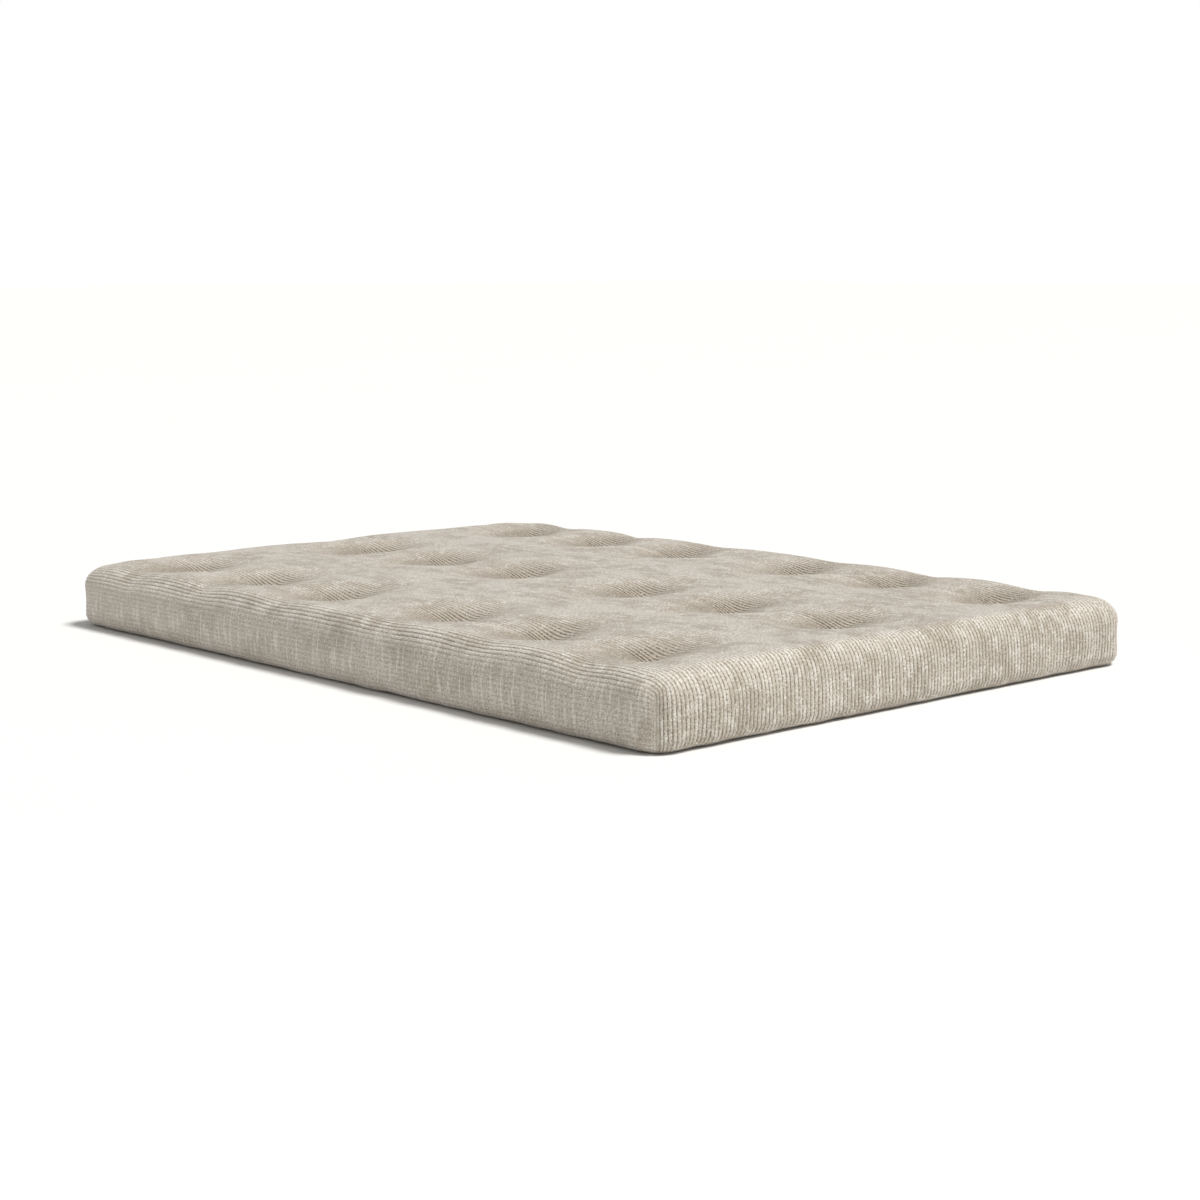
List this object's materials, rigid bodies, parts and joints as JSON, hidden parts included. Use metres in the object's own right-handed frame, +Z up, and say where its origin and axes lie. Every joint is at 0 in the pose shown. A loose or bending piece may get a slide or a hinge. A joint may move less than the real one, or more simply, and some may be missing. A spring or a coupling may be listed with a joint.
{
  "type": "futon mattress",
  "caption": "Tufted futon mattress in beige wide-wale corduroy, cotton and foam filled, folding in three sections for a double bed frame.",
  "frame": {"origin": "middle of the underside, on the surface that the mattress lies on", "axes": "+X across the mattress, +Y along its length towards the head end, +Z up through its thickness"},
  "size_m": [1.43, 2.03, 0.15],
  "materials": {
    "corduroy": "wide-wale chenille-like corduroy, beige, ribs along the length",
    "base_cloth": "unbleached cotton twill",
    "cotton_wadding": "felted cotton wadding, off-white",
    "foam": "open-cell polyurethane foam, pale cream",
    "seam_thread": "spun polyester sewing thread, matched beige",
    "tufting_twine": "waxed doubled cotton twine"
  },
  "bodies": {
    "middle": {"cover_upper_middle": "corduroy", "cover_base_middle": "base_cloth", "wadding_base_middle": "cotton_wadding", "foam_lower_middle": "foam", "wadding_middle_middle": "cotton_wadding", "foam_upper_middle": "foam", "wadding_top_middle": "cotton_wadding", "base_seam_middle": "seam_thread", "tuft_3_left": "tufting_twine", "tuft_3_centre": "tufting_twine", "tuft_3_right": "tufting_twine", "tuft_4_left": "tufting_twine", "tuft_4_centre": "tufting_twine", "tuft_4_right": "tufting_twine"},
    "foot": {"cover_upper_foot": "corduroy", "cover_base_foot": "base_cloth", "wadding_base_foot": "cotton_wadding", "foam_lower_foot": "foam", "wadding_middle_foot": "cotton_wadding", "foam_upper_foot": "foam", "wadding_top_foot": "cotton_wadding", "base_seam_foot": "seam_thread", "corner_seam_foot_left": "seam_thread", "corner_seam_foot_right": "seam_thread", "tuft_1_left": "tufting_twine", "tuft_1_centre": "tufting_twine", "tuft_1_right": "tufting_twine", "tuft_2_left": "tufting_twine", "tuft_2_centre": "tufting_twine", "tuft_2_right": "tufting_twine"},
    "head": {"cover_upper_head": "corduroy", "cover_base_head": "base_cloth", "wadding_base_head": "cotton_wadding", "foam_lower_head": "foam", "wadding_middle_head": "cotton_wadding", "foam_upper_head": "foam", "wadding_top_head": "cotton_wadding", "base_seam_head": "seam_thread", "corner_seam_head_left": "seam_thread", "corner_seam_head_right": "seam_thread", "tuft_5_left": "tufting_twine", "tuft_5_centre": "tufting_twine", "tuft_5_right": "tufting_twine", "tuft_6_left": "tufting_twine", "tuft_6_centre": "tufting_twine", "tuft_6_right": "tufting_twine"}
  },
  "joints": [
    {"name": "foot_fold", "type": "hinge", "parent": "middle", "child": "foot", "pos_m": [0, -0.3475, 0.228], "axis": [-1, 0, 0], "range_deg": [0, 180]},
    {"name": "head_fold", "type": "hinge", "parent": "middle", "child": "head", "pos_m": [0, 0.3475, 0.1505], "axis": [1, 0, 0], "range_deg": [0, 180]}
  ]
}
